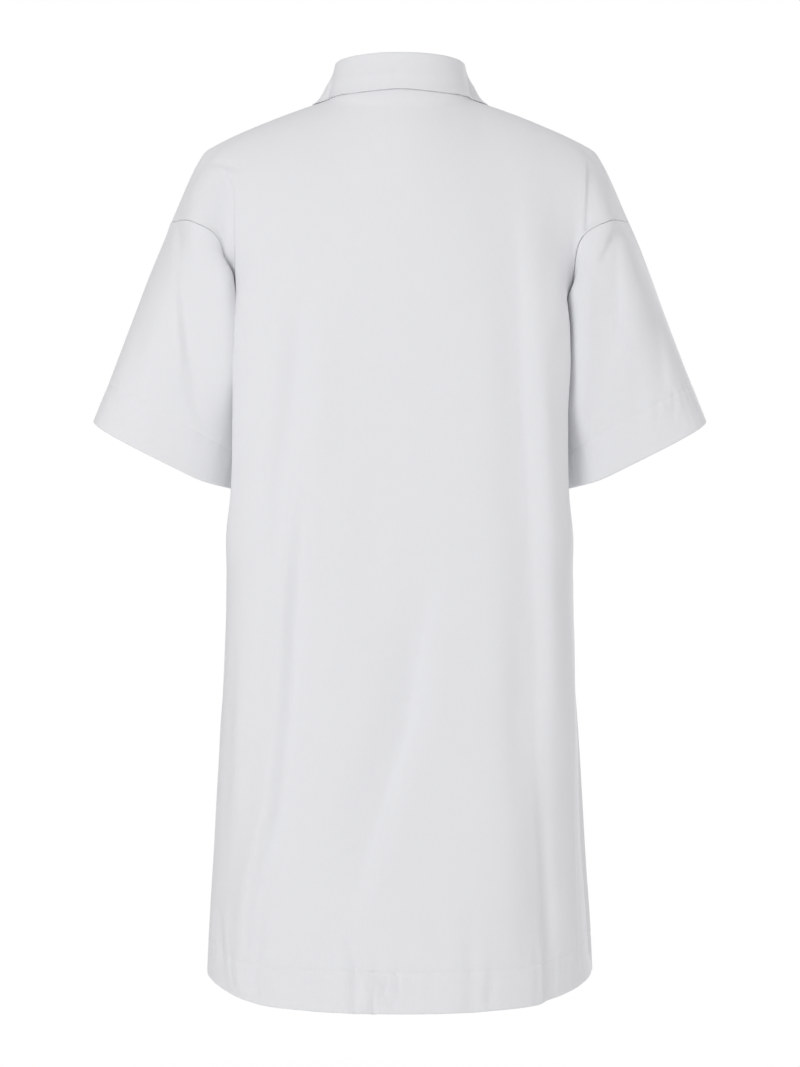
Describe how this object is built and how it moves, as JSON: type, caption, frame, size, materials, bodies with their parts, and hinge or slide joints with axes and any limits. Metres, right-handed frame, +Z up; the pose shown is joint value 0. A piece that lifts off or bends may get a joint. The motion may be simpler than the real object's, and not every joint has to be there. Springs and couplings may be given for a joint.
{
  "type": "a-line shirt dress",
  "caption": "Short-sleeved a-line dress in plain white cotton with a folded shirt collar, dropped shoulders, wide open sleeves and a short buttoned placket, filled out as if worn.",
  "frame": {"origin": "the middle of the neck at the height of the shoulders, where the wearer carries the dress", "axes": "+Z up, the front faces -Y and the back +Y, the wearer's left is +X"},
  "size_m": [0.6088, 0.3045, 0.9171],
  "materials": {
    "back_panel": "matt, plain woven cotton",
    "front_panel": "matt, plain woven cotton",
    "sleeve_left": "matt, plain woven cotton",
    "sleeve_right": "matt, plain woven cotton",
    "collar_stand": "matt, plain woven cotton",
    "collar_leaf": "matt, plain woven cotton",
    "placket_over": "matt, plain woven cotton",
    "placket_under": "matt, plain woven cotton",
    "button_1": "satin",
    "button_2": "satin",
    "button_3": "satin"
  },
  "bodies": {
    "root": {"back_panel": "back_panel", "front_panel": "front_panel", "sleeve_left": "sleeve_left", "sleeve_right": "sleeve_right", "collar_stand": "collar_stand", "collar_leaf": "collar_leaf", "placket_over": "placket_over", "placket_under": "placket_under", "button_1": "button_1", "button_2": "button_2", "button_3": "button_3"}
  },
  "joints": []
}
